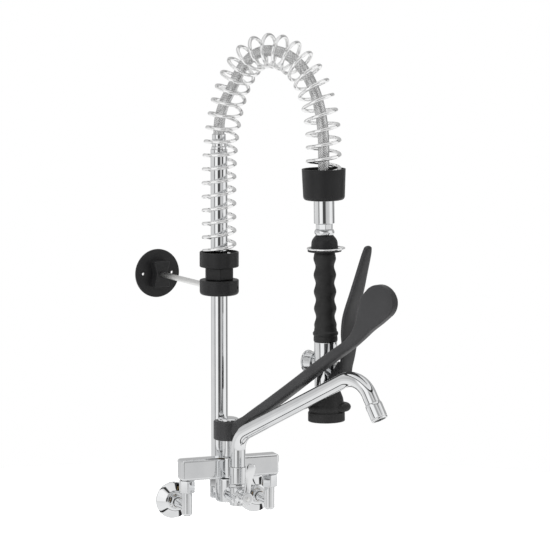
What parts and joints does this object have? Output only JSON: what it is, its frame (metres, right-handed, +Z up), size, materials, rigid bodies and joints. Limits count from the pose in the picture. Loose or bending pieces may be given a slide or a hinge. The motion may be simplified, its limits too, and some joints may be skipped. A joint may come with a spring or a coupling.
{
  "type": "pre rinse faucet",
  "caption": "Wall-mounted pre-rinse faucet: lever mixer, swivel spout with its own valve, riser with a sprung hose arch, wall bracket and trigger hand spray.",
  "frame": {"origin": "on the wall plane, midway between the two inlets, at the height of the inlets", "axes": "+X right along the wall, +Y into the wall (the faucet stands out towards -Y), +Z up along the riser"},
  "size_m": [0.2768, 0.6382, 0.8382],
  "materials": {
    "aerator": "black moulded nylon, fine grain",
    "balance_spring": "bright plated spring wire",
    "bracket_rod": "satin stainless steel",
    "cartridge": "white moulded cartridge",
    "cartridge_housing": "polished chrome plate",
    "cartridge_nut": "bare brass",
    "cartridge_turret": "black moulded nylon, fine grain",
    "clamp_collar": "black moulded nylon, fine grain",
    "clamp_neck": "black moulded nylon, fine grain",
    "clamp_screw": "satin stainless steel",
    "diverter_body": "polished chrome plate",
    "handle_tube": "bare brass",
    "hold_ring": "bright plated spring wire",
    "hose_end_sleeve": "polished chrome plate",
    "hose_fitting": "polished chrome plate",
    "inlet_leg_left": "polished chrome plate",
    "inlet_leg_right": "polished chrome plate",
    "lever_cap": "polished chrome plate",
    "lever_handle": "black moulded nylon, fine grain",
    "lever_screw": "satin stainless steel",
    "lever_stem": "bare brass",
    "mixer_bar": "polished chrome plate",
    "plunger_spring": "bright plated spring wire",
    "riser_hose_sleeve": "polished chrome plate",
    "riser_nut": "polished chrome plate",
    "riser_pipe": "polished chrome plate",
    "rosette_left": "polished chrome plate",
    "rosette_right": "polished chrome plate",
    "rubber_bumper": "black rubber",
    "s_union_left": "bare brass",
    "s_union_right": "bare brass",
    "side_cap": "polished chrome plate",
    "spout_nozzle": "polished chrome plate",
    "spout_seal_1": "black rubber",
    "spout_seal_2": "black rubber",
    "spout_sleeve": "polished chrome plate",
    "spout_spigot": "bare brass",
    "spout_tube": "polished chrome plate",
    "spout_union_nut": "polished chrome plate",
    "spray_face": "polished chrome plate",
    "spray_grip": "black rubber",
    "spray_hose": "braided stainless steel over rubber",
    "spray_shoulder": "black moulded nylon, fine grain",
    "spray_swivel_nut": "polished chrome plate",
    "spring_cup": "black moulded nylon, fine grain",
    "spring_seat_collar": "black moulded nylon, fine grain",
    "tilt_pin": "satin stainless steel",
    "trigger": "black moulded nylon, fine grain",
    "trigger_pin": "polished chrome plate",
    "upper_union_nut_left": "polished chrome plate",
    "upper_union_nut_right": "polished chrome plate",
    "valve_body": "polished chrome plate",
    "valve_bonnet": "polished chrome plate",
    "valve_handle": "polished chrome plate",
    "valve_plunger": "satin stainless steel",
    "valve_screw": "satin stainless steel",
    "valve_spindle": "bare brass",
    "wall_plate": "black moulded nylon, fine grain",
    "wall_union_nut_left": "polished chrome plate",
    "wall_union_nut_right": "polished chrome plate"
  },
  "bodies": {
    "mixer": {"s_union_left": "s_union_left", "s_union_right": "s_union_right", "rosette_left": "rosette_left", "rosette_right": "rosette_right", "wall_union_nut_left": "wall_union_nut_left", "wall_union_nut_right": "wall_union_nut_right", "inlet_leg_left": "inlet_leg_left", "inlet_leg_right": "inlet_leg_right", "upper_union_nut_left": "upper_union_nut_left", "upper_union_nut_right": "upper_union_nut_right", "mixer_bar": "mixer_bar", "cartridge_housing": "cartridge_housing", "cartridge_nut": "cartridge_nut", "cartridge": "cartridge", "diverter_body": "diverter_body", "riser_nut": "riser_nut", "riser_pipe": "riser_pipe", "riser_hose_sleeve": "riser_hose_sleeve", "spout_union_nut": "spout_union_nut", "spout_sleeve": "spout_sleeve", "valve_bonnet": "valve_bonnet"},
    "temperature_turret": {"cartridge_turret": "cartridge_turret", "tilt_pin": "tilt_pin"},
    "lever": {"lever_handle": "lever_handle", "lever_cap": "lever_cap", "lever_screw": "lever_screw", "lever_stem": "lever_stem"},
    "spout": {"spout_tube": "spout_tube", "spout_spigot": "spout_spigot", "spout_seal_1": "spout_seal_1", "spout_seal_2": "spout_seal_2", "spout_nozzle": "spout_nozzle", "aerator": "aerator"},
    "spout_valve": {"valve_spindle": "valve_spindle", "valve_handle": "valve_handle", "valve_screw": "valve_screw"},
    "bracket": {"clamp_collar": "clamp_collar", "clamp_screw": "clamp_screw", "clamp_neck": "clamp_neck", "spring_seat_collar": "spring_seat_collar", "bracket_rod": "bracket_rod", "wall_plate": "wall_plate"},
    "arch": {"balance_spring": "balance_spring", "spray_hose": "spray_hose", "spring_cup": "spring_cup", "hose_end_sleeve": "hose_end_sleeve", "hose_fitting": "hose_fitting"},
    "handset": {"spray_swivel_nut": "spray_swivel_nut", "spray_shoulder": "spray_shoulder", "spray_grip": "spray_grip", "handle_tube": "handle_tube", "valve_body": "valve_body", "side_cap": "side_cap", "plunger_spring": "plunger_spring", "trigger_pin": "trigger_pin", "rubber_bumper": "rubber_bumper", "spray_face": "spray_face"},
    "hold_ring": {"hold_ring": "hold_ring"},
    "trigger": {"trigger": "trigger"},
    "plunger": {"valve_plunger": "valve_plunger"}
  },
  "joints": [
    {"name": "temperature", "type": "hinge", "parent": "mixer", "child": "temperature_turret", "pos_m": [0, -0.072, 0.13], "axis": [0, 0, 1], "range_deg": [-70, 2]},
    {"name": "lever_lift", "type": "hinge", "parent": "temperature_turret", "child": "lever", "pos_m": [0, -0.072, 0.132], "axis": [-0.9135, -0.4067, 0], "range_deg": [0, 15]},
    {"name": "spout_swing", "type": "hinge", "parent": "mixer", "child": "spout", "pos_m": [0, -0.12, 0.06], "axis": [0, 0, 1], "range_deg": [-60, 3]},
    {"name": "spout_valve_turn", "type": "hinge", "parent": "mixer", "child": "spout_valve", "pos_m": [0, -0.158, 0.027], "axis": [0, -1, 0], "range_deg": [0, 90]},
    {"name": "bracket_turn", "type": "hinge", "parent": "mixer", "child": "bracket", "pos_m": [0, -0.0285, 0.367], "axis": [0, 0, 1], "range_deg": [-30, 30]},
    {"name": "arch_swing", "type": "hinge", "parent": "mixer", "child": "arch", "pos_m": [0, -0.0285, 0.6], "axis": [0, 0, 1], "range_deg": [0, 60]},
    {"name": "spray_swivel", "type": "hinge", "parent": "arch", "child": "handset", "pos_m": [0.11576, -0.22115, 0.48001], "axis": [-0.0085, 0.0142, 0.9999], "range_deg": [-12, 12]},
    {"name": "trigger_squeeze", "type": "hinge", "parent": "handset", "child": "trigger", "pos_m": [0.12867, -0.24263, 0.2354], "axis": [-0.8572, -0.515, 0], "range_deg": [0, 11], "stiffness_Nm_per_rad": 4, "springref_deg": -5.73},
    {"name": "plunger_slide", "type": "slide", "parent": "handset", "child": "plunger", "axis": [-0.515, 0.857, -0.0166], "range_m": [0, 0.0052], "deforming": ["plunger_spring"]},
    {"name": "hold_ring_flip", "type": "hinge", "parent": "handset", "child": "hold_ring", "pos_m": [0.10182, -0.19796, 0.45316], "axis": [-0.8572, -0.515, 0], "range_deg": [0, 25]}
  ],
  "couplings": [
    {"joint": "plunger_slide", "follows": "trigger_squeeze", "m_per_rad": 0.026}
  ]
}
